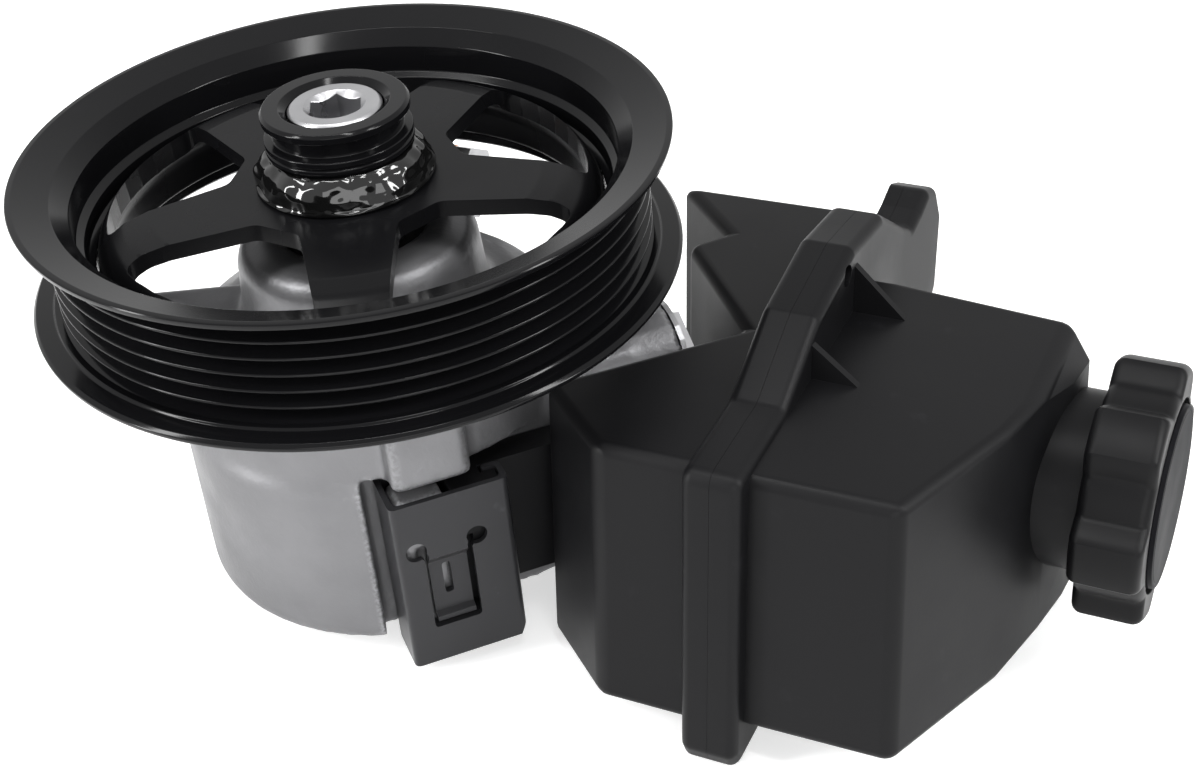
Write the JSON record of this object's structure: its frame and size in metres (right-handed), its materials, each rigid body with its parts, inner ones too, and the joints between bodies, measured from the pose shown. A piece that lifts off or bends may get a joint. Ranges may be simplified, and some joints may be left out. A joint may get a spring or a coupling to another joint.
{
  "type": "power steering pump",
  "caption": "Vane pump in a cast housing with a ribbed belt pulley on its shaft and a boxy moulded reservoir with a lobed screw cap.",
  "frame": {"origin": "centre of the pump's flat rear end, on the shaft axis", "axes": "+Z along the shaft axis from the rear end to the pulley, +X to the right and +Y away from the viewer in the picture"},
  "size_m": [0.2362, 0.1628, 0.1138],
  "materials": {
    "gloss_black_paint": "gloss black stoving paint on steel",
    "black_plastic": "satin black moulded plastic",
    "grey_casting": "die casting with a fine matt skin",
    "dark_clip_steel": "dark phosphated spring steel",
    "bright_steel": "bright turned steel",
    "ground_steel": "ground steel, lightly oiled",
    "copper": "soft copper",
    "bronze": "bearing bronze",
    "seal_rubber": "black oil-proof rubber"
  },
  "bodies": {
    "pump_body": {"reservoir_inner_half": "black_plastic", "reservoir_outer_half": "black_plastic", "pump_housing": "grey_casting", "end_cover": "grey_casting", "front_clip": "dark_clip_steel", "outlet_fitting": "bright_steel", "cam_ring": "ground_steel", "pressure_plate": "ground_steel", "thrust_plate": "ground_steel", "plate_spring": "ground_steel", "dowel_pin_1": "ground_steel", "dowel_pin_2": "ground_steel", "end_retaining_ring": "ground_steel", "flow_valve_spring": "ground_steel", "valve_plug": "ground_steel", "outlet_sealing_washer": "copper", "shaft_bush": "bronze", "shaft_seal": "seal_rubber", "end_cover_o_ring": "seal_rubber", "inlet_o_ring": "seal_rubber"},
    "drive": {"pulley_rim": "gloss_black_paint", "pulley_spider": "gloss_black_paint", "pulley_hub": "gloss_black_paint", "hub_weld": "gloss_black_paint", "drive_shaft": "bright_steel", "rotor": "ground_steel", "rotor_ring": "ground_steel", "vane_01": "ground_steel", "vane_02": "ground_steel", "vane_03": "ground_steel", "vane_04": "ground_steel", "vane_05": "ground_steel", "vane_06": "ground_steel", "vane_07": "ground_steel", "vane_08": "ground_steel", "vane_09": "ground_steel", "vane_10": "ground_steel"},
    "valve_spool": {"flow_valve_spool": "ground_steel"},
    "cap_carrier": {"dipstick": "black_plastic", "cap_gasket": "seal_rubber"},
    "cap": {"filler_cap": "black_plastic", "cap_disc": "black_plastic"}
  },
  "joints": [
    {"name": "shaft_spin", "type": "hinge", "parent": "pump_body", "child": "drive", "pos_m": [0, 0, 0.088], "axis": [0, 0, 1], "continuous": true},
    {"name": "valve_slide", "type": "slide", "parent": "pump_body", "child": "valve_spool", "axis": [-0.9483, -0.3173, 0], "range_m": [0, 0.004], "stiffness_N_per_m": 800, "deforming": ["flow_valve_spring"]},
    {"name": "cap_lift", "type": "slide", "parent": "pump_body", "child": "cap_carrier", "axis": [0.8829, -0.4695, 0], "range_m": [0, 0.0061]},
    {"name": "cap_turn", "type": "hinge", "parent": "cap_carrier", "child": "cap", "pos_m": [0.1498, -0.04907, 0.0275], "axis": [0.8829, -0.4695, 0], "range_deg": [0, 720]}
  ],
  "couplings": [
    {"joint": "cap_lift", "follows": "cap_turn", "m_per_rad": 0.00047746}
  ]
}
